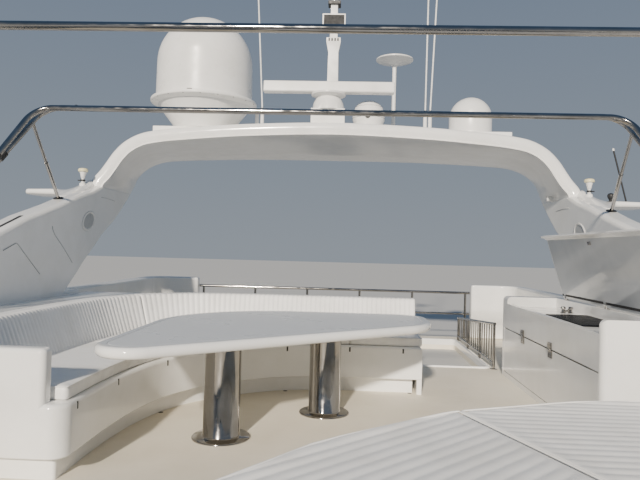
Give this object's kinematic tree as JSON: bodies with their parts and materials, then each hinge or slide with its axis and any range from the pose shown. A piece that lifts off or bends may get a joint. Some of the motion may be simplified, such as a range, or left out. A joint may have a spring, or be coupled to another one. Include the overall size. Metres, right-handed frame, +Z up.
{
  "type": "motor yacht flybridge",
  "caption": "Open upper deck of a motor yacht with radar arch, domes, awning bows, curved settee, table, sunpad, wet bar, stair opening and helm station.",
  "frame": {"origin": "middle of the deck moulding's underside, on the centre line, half way between the nose and the stern edge", "axes": "+X to port, +Y aft (the way the picture looks), +Z up"},
  "size_m": [6.1176, 11.51, 5.0209],
  "materials": {
    "gelcoat": "white polished gelcoat on moulded glass-reinforced plastic",
    "sole": "cream gelcoat, non-slip where walked on",
    "table": "white gelcoat table top, light grey on its upper face",
    "vinyl": "white marine vinyl, channelled and piped",
    "stainless": "polished stainless tube and plate",
    "radome": "white moulded radome and instrument housing",
    "whip": "white coated glass-fibre whip aerial",
    "hob": "black glass-ceramic hob plate",
    "lid": "light grey gloss inner moulding of the lid",
    "smoked": "smoked acrylic windscreen",
    "black": "black moulded plastic"
  },
  "bodies": {
    "flybridge": {"deck_sole": "sole", "coaming_forward": "gelcoat", "coaming_starboard": "gelcoat", "coaming_port": "gelcoat", "bulwark_starboard": "gelcoat", "bulwark_port": "gelcoat", "radar_arch": "gelcoat", "wing_starboard": "gelcoat", "wing_port": "gelcoat", "settee_base": "gelcoat", "settee_arm": "gelcoat", "sunpad_base": "gelcoat", "bar_cabinet": "gelcoat", "helm_console": "gelcoat", "helm_bench": "gelcoat", "lounge_base": "gelcoat", "platform_starboard": "gelcoat", "platform_port": "gelcoat", "mast": "gelcoat", "stern_rail": "stainless", "stair_rail": "stainless", "windscreen_rail": "stainless", "table_leg_forward": "stainless", "table_leg_aft": "stainless", "awning_bow_aft": "stainless", "awning_bracket_starboard": "stainless", "awning_bracket_port": "stainless", "awning_strut_starboard": "stainless", "awning_strut_port": "stainless", "seat_cushion_side": "vinyl", "seat_cushion_corner": "vinyl", "seat_cushion_middle": "vinyl", "seat_cushion_aft": "vinyl", "back_cushion_side": "vinyl", "back_cushion_aft": "vinyl", "sunpad_cushion_starboard": "vinyl", "sunpad_cushion_port": "vinyl", "helm_seat_cushion": "vinyl", "helm_back_cushion": "vinyl", "lounge_cushion": "vinyl", "table_top": "table", "hob": "hob", "windscreen": "smoked", "signal_horn": "black", "satcom_base": "radome", "satcom_dome": "radome", "tv_dome": "radome", "radar_pedestal": "radome", "disc_aerial": "radome", "camera_housing": "radome", "whip_starboard": "whip", "whip_port": "whip"},
    "radar_scanner": {"radar_scanner": "radome"},
    "awning_forward": {"awning_bow_forward": "stainless"},
    "awning_middle": {"awning_bow_middle": "stainless"},
    "bar_lid": {"bar_lid": "lid"},
    "bar_door": {"bar_door": "gelcoat"},
    "helm_wheel": {"helm_wheel": "stainless"}
  },
  "joints": [
    {"name": "radar_spin", "type": "hinge", "parent": "flybridge", "child": "radar_scanner", "pos_m": [-0.066, 3.575, 2.945], "axis": [0, 0, 1], "continuous": true},
    {"name": "awning_forward_fold", "type": "hinge", "parent": "flybridge", "child": "awning_forward", "pos_m": [0, 0.495, 1.035], "axis": [-1, 0, 0], "range_deg": [0, 64]},
    {"name": "awning_middle_raise", "type": "hinge", "parent": "flybridge", "child": "awning_middle", "pos_m": [0, 0.53, 1.035], "axis": [1, 0, 0], "range_deg": [0, 30]},
    {"name": "bar_lid_swing", "type": "hinge", "parent": "flybridge", "child": "bar_lid", "pos_m": [2.2, 1.97, 0.903], "axis": [0, -1, 0], "range_deg": [0, 73]},
    {"name": "bar_door_swing", "type": "hinge", "parent": "flybridge", "child": "bar_door", "pos_m": [1.702, 2.0475, 0.582], "axis": [0, 1, 0], "range_deg": [0, 95]},
    {"name": "helm_steer", "type": "hinge", "parent": "flybridge", "child": "helm_wheel", "pos_m": [-1.05, -4.115, 0.92], "axis": [0, 0.9063, 0.4226], "range_deg": [-540, 540]}
  ]
}
